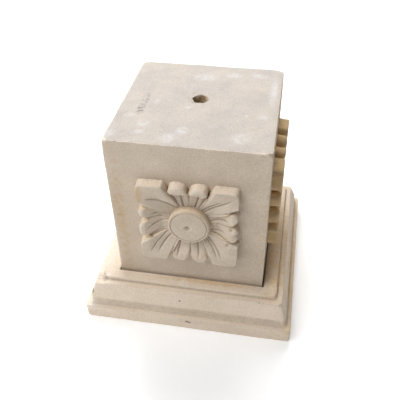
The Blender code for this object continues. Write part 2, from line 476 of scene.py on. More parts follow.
# %% [markdown]
# ## Closing and wearing the base
#
# The tree leaves two openings, under the plinth and in the middle of the top. A flat face closes
# each. Then the arrises are worn, the front left corner of the top most of all, and every point
# is drawn in a little, never out, so that the stone stays inside its measured size.

# %% Close the base and wear it
BASE_KNOCKS = (
    ((-0.1230, -0.1195, 0.0644), 0.0130, 0.0042),
    ((0.1215, -0.1180, 0.0644), 0.0050, 0.0016),
    ((0.1309, -0.1273, 0.0588), 0.0050, 0.0026),
    ((0.1385, -0.1350, 0.0352), 0.0045, 0.0026),
    ((-0.1385, -0.1350, 0.0352), 0.0040, 0.0014),
    ((0.0020, -0.1422, 0.0152), 0.0032, 0.0022),
    ((0.0050, -0.1422, 0.0138), 0.0026, 0.0020),
    ((-0.0091, -0.1317, 0.0455), 0.0020, 0.0014),
    ((-0.1269, -0.1183, 0.0588), 0.0022, 0.0014),
)


def close_openings(mesh):
    """Fill the open rims of a mesh and point its faces outwards."""
    bm = bmesh.new()
    bm.from_mesh(mesh)
    bmesh.ops.holes_fill(bm, edges=[edge for edge in bm.edges if edge.is_boundary], sides=0)
    bmesh.ops.recalc_face_normals(bm, faces=bm.faces)
    bm.to_mesh(mesh)
    bm.free()


close_openings(base_mesh)
wear(base_mesh, passes=7, least=0.25, most=1.0, cell=0.018, seed=11)
knock(base_mesh, BASE_KNOCKS, seed=13)
dress(base_mesh, depth=0.0003, cells=(0.030, 0.009, 0.003), seed=21)
print("base:", len(base_mesh.polygons), "faces")

# %% [markdown]
# ## The block
#
# The block is a box whose faces are laid out as grids, finer towards the arrises, where wear
# needs points to work on, and coarser in the middle. A Subdivision Surface would spread its
# points evenly and spend most of them where nothing happens.

# %% Lay out the block
BLOCK_WIDTH = 0.2000
BLOCK_DEPTH = 0.2008
BLOCK_TURN = math.radians(-0.17)
RECESS_PLACE = (0.0012, -0.0013)
RECESS_DEPTH = 0.0120
RECESS_CLEARANCE = 0.0021
BLOCK_SHIFT = (0.0005, -0.0002)
BLOCK_X = RECESS_PLACE[0] + BLOCK_SHIFT[0]
BLOCK_Y = RECESS_PLACE[1] + BLOCK_SHIFT[1]
FINE_STEP = 0.0009
COARSE_STEP = 0.0060
FINE_MARGIN = 0.0081
BLOCK_KNOCKS = (
    ((0.0330, -0.1004, 0.2857), 0.0034, 0.0017),
    ((0.0890, -0.1004, 0.2857), 0.0036, 0.0018),
    ((0.0945, -0.1004, 0.2855), 0.0030, 0.0022),
    ((0.1000, -0.1004, 0.2857), 0.0055, 0.0034),
    ((-0.0600, -0.1004, 0.2857), 0.0040, 0.0009),
    ((-0.1000, -0.1004, 0.2857), 0.0060, 0.0026),
    ((-0.1000, 0.1004, 0.2857), 0.0060, 0.0020),
    ((0.1000, 0.1004, 0.2857), 0.0075, 0.0034),
)


def graded(low, high):
    """Places from low to high, close together near the ends."""
    fine = np.arange(0, FINE_MARGIN - FINE_STEP / 2, FINE_STEP)
    inner_low, inner_high = low + FINE_MARGIN, high - FINE_MARGIN
    middle = np.linspace(inner_low, inner_high, round((inner_high - inner_low) / COARSE_STEP) + 1)
    return np.concatenate([low + fine, middle, high - fine[::-1]])


def gridded_box(name, xs, ys, zs):
    """A closed box whose six faces are grids on the given places."""
    bm = bmesh.new()
    made = {}

    def corner(i, j, k):
        if (i, j, k) not in made:
            made[i, j, k] = bm.verts.new((xs[i], ys[j], zs[k]))
        return made[i, j, k]

    counts = (len(xs), len(ys), len(zs))
    for axis in range(3):
        across, along = [other for other in range(3) if other != axis]
        for end in (0, counts[axis] - 1):
            for a, b in itertools.product(range(counts[across] - 1), range(counts[along] - 1)):
                face = []
                for step_a, step_b in ((0, 0), (1, 0), (1, 1), (0, 1)):
                    place = [0, 0, 0]
                    place[axis] = end
                    place[across] = a + step_a
                    place[along] = b + step_b
                    face.append(corner(*place))
                bm.faces.new(face)
    return mesh_from(name, bm)


block_mesh = gridded_box(
    "block",
    graded(-BLOCK_WIDTH / 2, BLOCK_WIDTH / 2),
    graded(-BLOCK_DEPTH / 2, BLOCK_DEPTH / 2),
    graded(block_low.z, block_high.z))
wear(block_mesh, passes=14, least=0.1, most=1.0, cell=0.008, seed=31)
knock(block_mesh, BLOCK_KNOCKS, seed=33)
dress(block_mesh, depth=0.0004, cells=(0.040, 0.012, 0.004), seed=41)
print("block:", len(block_mesh.polygons), "faces")

# %% [markdown]
# ## Small chips along the arrises
#
# The arrises have lost many crumbs no bigger than a grain of rice. They repeat along lines, so
# Geometry Nodes place them: a line runs along each arris, points are set along it, each is
# shifted a little at random, and a rough pebble of a random size and turn is put there. The
# pebbles are then cut out of the stone with a Boolean.

# %% Scatter pebbles along lines
PEBBLE_FLATNESS = 0.7
FEW_LARGE = 3.0
SMALLEST_CHIP = 0.0005
CORNER_GAP = 0.007


def chip_tree():
    """Pebbles of random size along lines, with a fixed seed."""
    tree = new_tree("pebbles along the arrises", [
        ("Spacing", "Float"), ("Stray", "Float"), ("Smallest", "Float"), ("Largest", "Float"),
        ("Seed", "Int"), ("Material", "Material")])
    given = tree.nodes.new("NodeGroupInput").outputs
    line = add_node(tree, "GeometryNodeMeshToCurve", {"Mesh": given["Geometry"]})
    dots = add_node(tree, "GeometryNodeCurveToPoints",
                    {"Curve": line.outputs[0], "Length": given["Spacing"]}, mode="LENGTH")
    low = combine(tree, *[calculate(tree, "MULTIPLY", given["Stray"], -1.0)] * 3)
    high = combine(tree, *[given["Stray"]] * 3)
    shift = add_node(tree, "FunctionNodeRandomValue",
                     {"Min": low, "Max": high, "Seed": given["Seed"]}, data_type="FLOAT_VECTOR")
    moved = add_node(tree, "GeometryNodeSetPosition",
                     {"Geometry": dots.outputs[0], "Offset": shift.outputs[0]})
    pebble = add_node(tree, "GeometryNodeMeshIcoSphere", {"Radius": 1.0, "Subdivisions": 2})
    turn = add_node(tree, "FunctionNodeRandomValue",
                    {"Max": (6.28, 6.28, 6.28), "Seed": given["Seed"]}, data_type="FLOAT_VECTOR")
    share = add_node(tree, "FunctionNodeRandomValue", {"Seed": given["Seed"]}, data_type="FLOAT")
    few_large = calculate(tree, "POWER", share.outputs[1], FEW_LARGE)
    span = calculate(tree, "SUBTRACT", given["Largest"], given["Smallest"])
    size = calculate(tree, "MULTIPLY_ADD", few_large, span, given["Smallest"])
    scale = combine(tree, size, size, calculate(tree, "MULTIPLY", size, PEBBLE_FLATNESS))
    placed = add_node(tree, "GeometryNodeInstanceOnPoints", {
        "Points": moved.outputs[0], "Instance": pebble.outputs[0],
        "Rotation": turn.outputs[0], "Scale": scale})
    finish_tree(tree, placed.outputs[0], given["Material"])
    return tree


def rectangle(half_x, half_y, z):
    """The four sides of a level rectangle, each short of its corners, where lines would meet."""
    x, y = half_x - CORNER_GAP, half_y - CORNER_GAP
    return [[(-x, -half_y, z), (x, -half_y, z)], [(half_x, -y, z), (half_x, y, z)],
            [(x, half_y, z), (-x, half_y, z)], [(-half_x, y, z), (-half_x, -y, z)]]


def chips_along(name, lines, spacing, stray, largest, seed, material):
    """Pebbles along lines, to be cut out of a stone."""
    return run_tree(name + " chips", chips, line_mesh(name + " arrises", lines), {
        "Spacing": spacing, "Stray": stray, "Smallest": SMALLEST_CHIP, "Largest": largest,
        "Seed": seed, "Material": material})


chips = chip_tree()
block_lines = rectangle(BLOCK_WIDTH / 2, BLOCK_DEPTH / 2, block_high.z)
for sign_x, sign_y in itertools.product((-1, 1), repeat=2):
    x, y = sign_x * BLOCK_WIDTH / 2, sign_y * BLOCK_DEPTH / 2
    block_lines.append([(x, y, BASE_TOP), (x, y, block_high.z - CORNER_GAP)])
block_chips = chips_along("block", block_lines, spacing=0.0095, stray=0.0016, largest=0.0022,
                          seed=5, material=block_stone)
slab_inset = PLINTH_LEDGE + COVE_RUN - COVE_SETBACK + SPLAY_RUN + UPPER_LEDGE
base_lines = []
for inset, z in ((0, PLINTH_HEIGHT), (slab_inset - UPPER_LEDGE, BASE_TOP - FILLET_HEIGHT),
                 (slab_inset, BASE_TOP)):
    base_lines += rectangle(BASE_WIDTH / 2 - inset, BASE_DEPTH / 2 - inset, z)
base_chips = chips_along("base", base_lines, spacing=0.0110, stray=0.0015, largest=0.0020,
                         seed=8, material=base_stone)
print("pebbles:", len(block_chips.polygons) // 80, "and", len(base_chips.polygons) // 80)

# %% [markdown]
# ## The drilled hole and the recess
#
# Both are cut with a Boolean. A hole drilled in soft stone isn't a clean cylinder: its wall
# wanders and its rim breaks away. So the cutter is built ring by ring, each ring a little uneven,
# and it widens where it leaves the stone.

# %% Cut the hole, the recess and the chips
HOLE_RADIUS = 0.0096
HOLE_DEPTH = 0.0600
HOLE_PLACE = (-0.0006, 0.0070)
HOLE_SIDES = 56
HOLE_RINGS = 34
RIM_FLARE = 0.0015
RIM_REACH = 0.0034
RIM_CURVE = 1.5
RIM_CELL = 0.6
HOLE_SHRINK = 0.0004
HOLE_WANDER = 0.0007
HOLE_CELL = 0.55
RECESS_WANDER = 0.00035
RECESS_CELL = 0.012
OVERCUT = 0.006
RECESS_STEP = 0.003
FOOT_SHADE_REACH = 0.0013


def skin_rings(bm, rings):
    """Bridge closed rings of equal length and cap the first and the last."""
    verts = [[bm.verts.new(point) for point in ring] for ring in rings]
    count = len(verts[0])
    for low, high in zip(verts, verts[1:]):
        for i in range(count):
            j = (i + 1) % count
            bm.faces.new((low[i], low[j], high[j], high[i]))
    bm.faces.new(list(reversed(verts[0])))
    bm.faces.new(verts[-1])


def drill():
    """A rough drill hole, as a solid to cut with, with the stone's top at z = 0."""
    rings = []
    for z in np.linspace(-HOLE_DEPTH, OVERCUT, HOLE_RINGS):
        flare = RIM_FLARE * math.exp(-(max(-z, 0) / RIM_REACH) ** RIM_CURVE)
        turns = evenly_round(HOLE_SIDES)
        around = np.stack([np.cos(turns), np.sin(turns), np.full(HOLE_SIDES, z / HOLE_RADIUS)],
                          axis=1)
        wander = HOLE_WANDER * unevenness(around, HOLE_CELL, 51)
        broken = flare * (0.5 + unevenness(around, RIM_CELL, 52))
        radius = HOLE_RADIUS - HOLE_SHRINK + wander + broken
        rings.append([(r * c, r * s, z) for r, (c, s, _) in zip(radius, around)])
    bm = bmesh.new()
    skin_rings(bm, rings)
    return mesh_from("drill", bm)


def recess_cutter():
    """The recess for the block, with slightly wandering walls."""
    half_x = BLOCK_WIDTH / 2 + RECESS_CLEARANCE
    half_y = BLOCK_DEPTH / 2 + RECESS_CLEARANCE
    floor = BASE_TOP - RECESS_DEPTH
    places = [np.linspace(-half, half, round(2 * half / RECESS_STEP)) for half in (half_x, half_y)]
    mesh = gridded_box("recess", *places, np.linspace(floor, BASE_TOP + OVERCUT, 7))
    points = points_of(mesh)
    shift = np.stack([unevenness(points, RECESS_CELL, seed) for seed in (61, 62, 63)], axis=1)
    shift *= RECESS_WANDER
    put_points(mesh, points + shift + [*RECESS_PLACE, 0])
    return mesh


def cut(mesh, *tools):
    """Cut a mesh with solids and return the result as a new mesh."""
    thing = link("stone being cut", mesh)
    cutters = [link("cutter", tool) for tool in tools]
    for cutter in cutters:
        modifier = thing.modifiers.new("cut", "BOOLEAN")
        modifier.operation = "DIFFERENCE"
        modifier.solver = "EXACT"
        modifier.object = cutter
    evaluated = thing.evaluated_get(bpy.context.evaluated_depsgraph_get())
    result = bpy.data.meshes.new_from_object(evaluated)
    for used in (thing, *cutters):
        bpy.data.objects.remove(used)
    return result


def hump(values, low, high):
    """0 outside the stretch from low to high, and 1 in its middle."""
    return np.clip(1 - ((2 * values - low - high) / (high - low)) ** 2, 0, 1)


heights = points_of(base_mesh)[:, 2]
in_cove = hump(heights, PLINTH_HEIGHT, PLINTH_HEIGHT + COVE_HEIGHT + SPLAY_LIP)
at_fillet = hump(heights, BASE_TOP - FILLET_HEIGHT - 0.0004, BASE_TOP - 0.0012)
at_foot = np.exp(-heights / FOOT_SHADE_REACH)
hollows = hollowness(base_mesh, passes=4, full=0.0005)
# Painted shade: the base is painted darker in its hollows, along the cove and the fillet's foot,
# and in a painted contact shadow along its bottom edge, with some dirt in the hollows.
paint(base_mesh, "shade_dirt_and_rubbing", 0.7 * hollows + 0.45 * in_cove + 0.35 * at_fillet + 0.9 * at_foot)
# The block keeps only its exposed arrises, which the stone paints rubbed pale.
paint(block_mesh, "shade_dirt_and_rubbing", np.minimum(hollowness(block_mesh, passes=4, full=0.0005), 0))
drill_mesh = drill()
drill_mesh.transform(Matrix.Translation((*HOLE_PLACE, block_high.z)))
block_mesh = cut(block_mesh, drill_mesh, block_chips)
base_mesh = cut(base_mesh, recess_cutter(), base_chips)
print("after cutting:", len(block_mesh.polygons), "and", len(base_mesh.polygons), "faces")

# %% [markdown]
# ## The leaf flower
#
# Twelve petals stand round a boss: two round lobes on each side of the square and a leaf in each
# corner. It was drawn and carved by eye, so no two petals are quite alike. Each petal of the
# front flower is one line of the table below: where it starts at the rim and at the boss, in
# degrees, how deep the notch before it cuts, how wide that notch is, and its veins.
#
# It could be sculpted, but the form follows a rule. The surface is a dish that rises from the
# boss to the rim, with a V cut between petals and finer V cuts for the veins. So it is a height
# worked out on rings and spokes, which follow the petals as a carver's chisel does.

# %% Describe the petals
PANEL_WIDTH = 0.1275
PANEL_HEIGHT = 0.1240
PANEL_RELIEF = 0.0136
PANEL_MIDDLE = BASE_TOP + 0.1072
BOSS_RADIUS = 0.0270

# rim angle, boss angle, notch depth, notch half width, is a leaf,
# and veins, each with its boss angle, rim angle, start and end
FRONT_PETALS = (
    (7.7, 4, 0.21, 0.0020, False, ((14, 17, 0.05, 0.72),)),
    (28.4, 34, 0.19, 0.0026, True,
     ((53.2, 47.6, 0.0, 0.72), (46.7, 43.4, 0.0, 0.84))),
    (63.2, 60, 0.21, 0.0022, False, ((72.7, 74.3, 0.0, 0.76),)),
    (89.0, 88, 0.17, 0.0022, False, ((102.3, 102.4, 0.0, 0.72),)),
    (114.7, 117, 0.20, 0.0018, True,
     ((124.7, 134.7, 0.05, 0.62), (125.3, 142.7, 0.05, 0.74))),
    (155.1, 150, 0.17, 0.0042, False, ((156, 166, 0.05, 0.60),)),
    (175.8, 168.7, 0.20, 0.0044, False, ((175, 193.4, 0.0, 0.80),)),
    (206.5, 200, 0.26, 0.0046, True,
     ((207.8, 224.6, 0.0, 0.74), (221.8, 231, 0.0, 0.70))),
    (246.2, 241, 0.22, 0.0016, False, ((248.4, 254.9, 0.0, 0.80),)),
    (271.8, 272, 0.22, 0.0018, False, ((287.7, 283.7, 0.0, 0.80),)),
    (296.2, 301, 0.25, 0.0018, True,
     ((314.2, 306.6, 0.0, 0.70), (320.8, 310.6, 0.0, 0.70))),
    (339.8, 336, 0.22, 0.0018, False, ((345, 352, 0.10, 0.60),)),
)


# angle, notch half width, is a leaf, and its veins' angles, for a quarter of an even flower
EVEN_QUARTER = (
    (0, 0.0024, False, (13,)),
    (26, 0.0028, True, (42, 49)),
    (64, 0.0028, False, (77,)),
)
EVEN_NOTCH = 0.20
EVEN_VEIN_END = 0.75


def regular_petals(veined):
    """A flower set out with compasses: the same petals in each quarter, for the other sides."""
    petals = []
    for quarter in range(0, 360, 90):
        for turn, slack, leaf, veins in EVEN_QUARTER:
            start = 0.02 if leaf else 0.05
            cuts = tuple((quarter + vein, quarter + vein, start, EVEN_VEIN_END) for vein in veins)
            petals.append((quarter + turn, quarter + turn, EVEN_NOTCH, slack, leaf,
                           cuts if veined else ()))
    return tuple(petals)


print("petals:", len(FRONT_PETALS))

# %% [markdown]
# ## Heights and outline of a flower
#
# The next cell turns the table into numbers at every point. `reach` is the outline: a square with
# slightly eased corners, cut back at each notch. `carved_height` is the surface. A V cut is just
# one minus the distance to its line over its half width, held above zero.

# %% Work out the carving
CORNER_SQUARENESS = 20
DISH_SHARE = 0.25
LOBE_RISE = (0.22, 0.80)
LEAF_RISE = (0.00, 0.72)
STEEPER_ABOVE = 0.22
STRAIGHT_RISE = 0.40
NOTCH_SLACK = 0.4
VALLEY_AT_BOSS = 0.0003
VALLEY_AT_RIM = 0.0056
SHOULDER_REACH = 0.0040
LOBE_SHOULDER = 0.0030
LEAF_SHOULDER = 0.0014
SHOULDER_AT_BOSS = 0.25
GOUGE_DEPTH = 0.0013
GOUGE_END = 0.80
GOUGE_EASE = 0.3
GOUGE_WIDTH = 0.5
VALLEY_HALF_WIDTH = 0.0011
VALLEY_NARROWING = 0.0005
VALLEY_CURVE = 2.2
VEIN_DEPTH = 0.0021
VEIN_HALF_WIDTH = 0.0020
VEIN_LEAD = 0.1
VEIN_OPENING = 0.12
VEIN_CLOSING = 0.18
LOBE_ROUND = 0.0128
LEAF_ROUND = 0.0016


def turn_between(a, b):
    """The smallest turn from b to a, in radians."""
    return (a - b + math.pi) % (2 * math.pi) - math.pi


def square_reach(angles):
    """Distance from the flower's middle to its nearly square outline."""
    across = np.abs(np.cos(angles)) / (PANEL_WIDTH / 2)
    along = np.abs(np.sin(angles)) / (PANEL_HEIGHT / 2)
    return (across ** CORNER_SQUARENESS + along ** CORNER_SQUARENESS) ** (-1 / CORNER_SQUARENESS)


def petal_places(petals, angles):
    """Each angle's petal, how far across it the angle is, its width, and whether it is a leaf."""
    starts = np.radians([petal[0] for petal in petals])
    ends = np.roll(starts, -1)
    ends[-1] += 2 * math.pi
    wrapped = (angles - starts[0]) % (2 * math.pi) + starts[0]
    index = np.searchsorted(starts, wrapped, side="right") - 1
    width = ends[index] - starts[index]
    leaf = np.array([petal[4] for petal in petals])[index]
    return index, (wrapped - starts[index]) / width, width, leaf


def reach(petals, angles):
    """The outline: a square cut back at the notches, with round lobes and square leaves."""
    index, across, width, leaf = petal_places(petals, angles)
    square = square_reach(angles)
    notch = np.array([petal[2] for petal in petals])
    slack = np.array([petal[3] for petal in petals])
    following = (index + 1) % len(petals)
    cut_back = np.zeros(len(angles))
    for side, place in ((index, across), (following, 1 - across)):
        distance = place * width * square
        easing = np.where(leaf, LEAF_ROUND, LOBE_ROUND)
        clear = ramp(distance, slack[side] * NOTCH_SLACK, easing)
        cut_back = np.maximum(cut_back, notch[side] * (1 - np.sqrt(1 - (1 - clear) ** 2)))
    return square * (1 - cut_back)


def carved_height(petals, angles, radii):
    """Height of the flower's surface over the block's side, at each angle and radius."""
    index, across, width, leaf = petal_places(petals, angles)
    outward = ramp(radii, BOSS_RADIUS, square_reach(angles) - BOSS_RADIUS)
    start, end = (np.where(leaf, LEAF_RISE[i], LOBE_RISE[i]) for i in (0, 1))
    start = start + np.where(leaf, 0, STEEPER_ABOVE * np.clip(np.sin(angles), 0, 1))
    rise = ramp(outward, start, end - start)
    rise = STRAIGHT_RISE * rise + (1 - STRAIGHT_RISE) * eased(rise)
    height = (DISH_SHARE + (1 - DISH_SHARE) * rise) * PANEL_RELIEF
    middle = fade((2 * across - 1) ** 2, GOUGE_WIDTH)
    along = np.clip((GOUGE_END - outward) / GOUGE_EASE, 0, 1) * np.clip(outward / GOUGE_EASE, 0, 1)
    height = height - GOUGE_DEPTH * middle * along
    shoulder = np.where(leaf, LEAF_SHOULDER, LOBE_SHOULDER)
    for rim, boss, _, slack, _, veins in petals:
        line = np.radians(boss + (rim - boss) * outward)
        distance = np.abs(turn_between(angles, line)) * radii
        wide = VALLEY_HALF_WIDTH + (slack - VALLEY_NARROWING) * outward
        deep = VALLEY_AT_BOSS + (VALLEY_AT_RIM - VALLEY_AT_BOSS) * outward ** VALLEY_CURVE
        height = height - deep * fade(distance, wide)
        rounding = SHOULDER_AT_BOSS + (1 - SHOULDER_AT_BOSS) * outward ** 2
        height = height - shoulder * rounding * np.exp(-(distance / SHOULDER_REACH) ** 2)
        for at_boss, at_rim, start, end in veins:
            line = np.radians(at_boss + (at_rim - at_boss) * np.clip(outward / end, 0, 1))
            distance = np.abs(turn_between(angles, line)) * radii
            opens = np.clip((outward - start + VEIN_LEAD) / VEIN_OPENING, 0, 1)
            closes = np.clip((end - outward) / VEIN_CLOSING, 0, 1)
            height = height - VEIN_DEPTH * opens * closes * fade(distance, VEIN_HALF_WIDTH)
    return height


print("outline at eight bearings, mm:", (reach(FRONT_PETALS, evenly_round(8)) * 1000).round(1))

# %% [markdown]
# ## From heights to a solid
#
# A carving needs more than its face. A lobe's tip is rounded like a fingertip, a leaf's edge is
# only eased, the edge stands almost square to the block, and its foot goes a little way into the
# block, so that no gap can show. The rings therefore run from the middle out over the face, round
# the rim, down the edge and into the stone.

# %% Carve a flower as a solid
LOBE_TIP = (0.0046, 0.0034)
LEAF_TIP = (0.0019, 0.0017)
NOTCH_TIP = (0.0009, 0.0009)
TIP_CLEAR = 0.0065
TIP_STEPS = 6
EDGE_STEPS = 9
EDGE_FLARE = 0.0012
FOOT_DEPTH = 0.0020
INNER_SHARE = 0.88
TOOL_MARK = 0.00012
TOOL_CELL = 0.0024
WOBBLE = 0.00030
WOBBLE_CELL = 0.011
DRESSING = 0.00016
DRESSING_CELL = 0.006
GRAIN = 0.00010
GRAIN_CELL = 0.0022
# Painted shade: the flower's foot against the block, its bowl, more on the upper petals that face
# down, and its cuts are painted darker, with some dirt in the bowl and cuts.
FOOT_SHADE = 0.8
FOOT_REACH = 0.0022
BOWL_REACH = 0.026
BOWL_DIRT_AND_SHADE = 0.36
BOWL_SHADE = 0.16
CUT_DIRT_AND_SHADE = 0.85
NOTCH_STAIN = 0.28
NOTCH_FROM = 0.985
NOTCH_EASE = 0.06
STAIN_FROM = 0.045
STAIN_EASE = 0.006


def tip_size(petals, angles, part):
    """How far the rim is rounded at each angle, inwards (part 0) or downwards (part 1)."""
    index, across, width, leaf = petal_places(petals, angles)
    distance = np.minimum(across, 1 - across) * width * square_reach(angles)
    clear = np.clip(distance / TIP_CLEAR, 0, 1)
    full = np.where(leaf, LEAF_TIP[part], LOBE_TIP[part])
    return NOTCH_TIP[part] + (full - NOTCH_TIP[part]) * eased(clear)


def darken_flower(mesh, petals, angles, radii, heights, edge, stain_and_shade):
    """Paint shade at its foot, shade with dirt in its bowl and cuts, and stain in its notches."""
    foot = FOOT_SHADE * np.exp(-np.clip(heights, 0, 1).ravel() / FOOT_REACH) * edge
    bowl = BOWL_DIRT_AND_SHADE + BOWL_SHADE * np.sin(angles)
    bowl = (fade(radii - BOSS_RADIUS, BOWL_REACH) * bowl).ravel()
    cuts = CUT_DIRT_AND_SHADE * hollowness(mesh, passes=5, full=0.00035)
    paint(mesh, "shade_dirt_and_rubbing", cuts + bowl + foot)
    cut_back = reach(petals, angles) / square_reach(angles)
    notch = np.clip((NOTCH_FROM - cut_back) / NOTCH_EASE, 0, 1)
    notch = NOTCH_STAIN * np.tile(notch, len(radii)) * ramp(radii.ravel(), STAIN_FROM, STAIN_EASE)
    paint(mesh, "ochre_and_shade", notch + stain_and_shade)


def flower_mesh(name, petals, spokes, rings, seed, knocks=(), stain_and_shade=0.0):
    """The flower as a closed solid that faces -Y, with its middle at the origin."""
    angles = evenly_round(spokes)
    around = np.stack([np.cos(angles), np.sin(angles), np.zeros(spokes)], axis=1)
    around = around * PANEL_WIDTH / 2
    outline = reach(petals, angles) + WOBBLE * (unevenness(around, WOBBLE_CELL, seed + 5) - 1)
    inward, down = (tip_size(petals, angles, part) for part in (0, 1))
    inner = BOSS_RADIUS * INNER_SHARE
    layers = []
    for share in np.linspace(0, 1, rings):
        radii = inner + (outline - inward - inner) * share
        layers.append((radii, carved_height(petals, angles, radii)))
    crest = layers[-1][1]
    for turn in np.linspace(0, math.pi / 2, TIP_STEPS)[1:]:
        layers.append((outline - inward * (1 - math.sin(turn)),
                       crest - down * (1 - math.cos(turn))))
    for share in np.linspace(0, 1, EDGE_STEPS)[1:]:
        layers.append((outline + EDGE_FLARE * share ** 2, (crest - down) * (1 - share)))
    layers.append((outline + EDGE_FLARE, np.full(spokes, -FOOT_DEPTH)))
    radii, heights = (np.array(part) for part in zip(*layers))
    flat = np.stack([np.cos(angles) * radii, -heights, np.sin(angles) * radii], axis=-1)
    flat = flat.reshape(-1, 3)
    edge = np.repeat(np.arange(len(layers)) >= rings + 2, spokes)
    dressing = DRESSING * (1 + unevenness(flat, DRESSING_CELL, seed))
    flat[:, 1] += dressing + GRAIN * unevenness(flat, GRAIN_CELL, seed + 1)
    marks = unevenness(flat * [1, 0.25, 1], TOOL_CELL, seed + 2) * TOOL_MARK * edge
    flat[:, 0] += np.tile(np.cos(angles), len(layers)) * marks
    flat[:, 2] += np.tile(np.sin(angles), len(layers)) * marks
    bm = bmesh.new()
    skin_rings(bm, flat.reshape(len(layers), spokes, 3).tolist())
    mesh = mesh_from(name, bm)
    knock(mesh, knocks, seed + 3)
    darken_flower(mesh, petals, angles, radii, heights, edge, stain_and_shade)
    return mesh


FRONT_KNOCKS = (
    ((0.0550, -0.0125, 0.0035), 0.0050, 0.0035),
    ((0.0613, -0.0100, -0.0052), 0.0050, 0.0034),
    ((0.0505, -0.0120, -0.0238), 0.0040, 0.0028),
    ((0.0600, -0.0100, -0.0125), 0.0035, 0.0024),
)
trial = flower_mesh("trial flower", FRONT_PETALS, 96, 8, 71, FRONT_KNOCKS)
print("a coarse trial flower:", len(trial.polygons), "faces")

# %% [markdown]
# ## The boss
#
# The boss is a round button with a fine line scribed near its edge and a small dimple where the
# compass stood. It is turned from a profile. Blender's Screw modifier would do it too; rings are
# used here because the solid then joins the flower without any modifier left on it.

# %% Turn the boss
BOSS_RELIEF = 0.0138
BOSS_CROWN = 0.0007
BOSS_SHOULDER = (0.0030, 0.0032)
RING_RADIUS = 0.0231
RING_DEPTH = 0.0011
RING_HALF_WIDTH = 0.0009
HOLLOW_RADIUS = 0.0150
HOLLOW_DEPTH = 0.0003
BOSS_PIN = 0.0003
DIMPLE_PLACE = (-0.0012, -0.0010)
DIMPLE_RADIUS = 0.0056
DIMPLE_DEPTH = 0.0023
DIMPLE_CURVE = 1.4
BOSS_FLARE = 0.0003
RING_MARGIN = 0.0014
BOSS_DRESSING = 0.00020
BOSS_DRESSING_CELL = 0.008
BOSS_GRAIN = 0.00008
BOSS_GRAIN_CELL = 0.002
# Painted shade: the boss's wall, its scribed line and its dimple are painted darker.
WALL_SHADE = 0.9
WALL_TOP = 0.0105
WALL_EASE = 0.003
RING_SHADE = 0.9
DIMPLE_SHADE = 0.7
SHOULDER_DARKENING = 0.35


def boss_height(radius):
    """Height lost at a radius to the crown, the scribed line and the shallow hollow inside it."""
    lost = BOSS_CROWN * (radius / BOSS_RADIUS) ** 2
    lost += RING_DEPTH * fade(abs(radius - RING_RADIUS), RING_HALF_WIDTH)
    return lost + HOLLOW_DEPTH * max(0, 1 - (radius / HOLLOW_RADIUS) ** 2)


def boss_mesh(name, spokes, rings, seed, stain_and_shade=0.0):
    """The boss as a closed solid that faces -Y, with its middle at the origin."""
    angles = evenly_round(spokes)
    flat_radius = BOSS_RADIUS - BOSS_SHOULDER[0]
    top = BOSS_RELIEF - boss_height(flat_radius)
    profile = [(BOSS_RADIUS + BOSS_FLARE, 0.0)]
    wall_top = top - BOSS_SHOULDER[1]
    profile += [(BOSS_RADIUS, height) for height in np.linspace(0.25, 1, 6) * wall_top]
    for turn in np.linspace(0, math.pi / 2, 10)[1:]:
        profile.append((flat_radius + BOSS_SHOULDER[0] * math.cos(turn),
                        top - BOSS_SHOULDER[1] * (1 - math.sin(turn))))
    inside_ring = RING_RADIUS - RING_MARGIN
    for radius in (*np.linspace(flat_radius, inside_ring, 12)[1:],
                   *np.linspace(inside_ring, BOSS_PIN, rings)[1:]):
        profile.append((radius, BOSS_RELIEF - boss_height(radius)))
    points = np.array([[(radius * math.cos(a), -height, radius * math.sin(a)) for a in angles]
                       for radius, height in profile]).reshape(-1, 3)
    away = np.hypot(points[:, 0] - DIMPLE_PLACE[0], points[:, 2] - DIMPLE_PLACE[1])
    away /= DIMPLE_RADIUS
    points[:, 1] += DIMPLE_DEPTH * fade(away * away, 1) ** DIMPLE_CURVE
    dressing = BOSS_DRESSING * unevenness(points, BOSS_DRESSING_CELL, seed)
    points[:, 1] += dressing + BOSS_GRAIN * unevenness(points, BOSS_GRAIN_CELL, seed + 1)
    bm = bmesh.new()
    skin_rings(bm, points.reshape(len(profile), spokes, 3).tolist())
    mesh = mesh_from(name, bm)
    out = np.hypot(points[:, 0], points[:, 2])
    # Painted shade on the boss: its hollows, wall, scribed line and dimple are painted darker.
    ring = RING_SHADE * fade(np.abs(out - RING_RADIUS), RING_HALF_WIDTH)
    wall = WALL_SHADE * ramp(points[:, 1], -WALL_TOP, WALL_EASE)
    dimple = DIMPLE_SHADE * np.clip(1 - away * 1.1, 0, 1)
    paint(mesh, "shade_dirt_and_rubbing", hollowness(mesh, passes=4, full=0.0003) + wall + ring + dimple)
    # The shoulder outside the scribed line is made darker and warmer.
    shoulder = ramp(out, RING_RADIUS + RING_HALF_WIDTH, 0.001)
    paint(mesh, "ochre_and_shade", SHOULDER_DARKENING * shoulder + stain_and_shade)
    return mesh


print("a coarse trial boss:", len(boss_mesh("trial boss", 24, 8, 81).polygons), "faces")

# %% [markdown]
# ## Setting the flowers on the block
#
# Each flower is turned to its side and moved out to the block's face. All the carving is one with
# the block, so the parts are joined into one piece. The hidden sides carry the same flower, set
# out evenly and with fewer cuts.

# %% Join the block and its flowers
BOSS_OFFSET = (0.0010, 0.0006)
# name, turn, shift, petals, flower's spokes and rings, boss's spokes and rings, knocks, stain and
# painted shade
SIDES = (
    ("front", 0, 0.0018, FRONT_PETALS, (480, 54), (96, 28), FRONT_KNOCKS, 0.0),
    # On the right side the ochre glaze is partly stain and partly painted shade of that side.
    ("right", 90, 0.0, regular_petals(True), (288, 34), (64, 16), (), 1.1),
    ("back", 180, 0.0, regular_petals(False), (200, 24), (48, 8), (), 0.2),
    ("left", 270, 0.0, regular_petals(False), (200, 24), (48, 8), (), 0.2),
)
ATTRIBUTES = ("shade_dirt_and_rubbing", "ochre_and_shade")


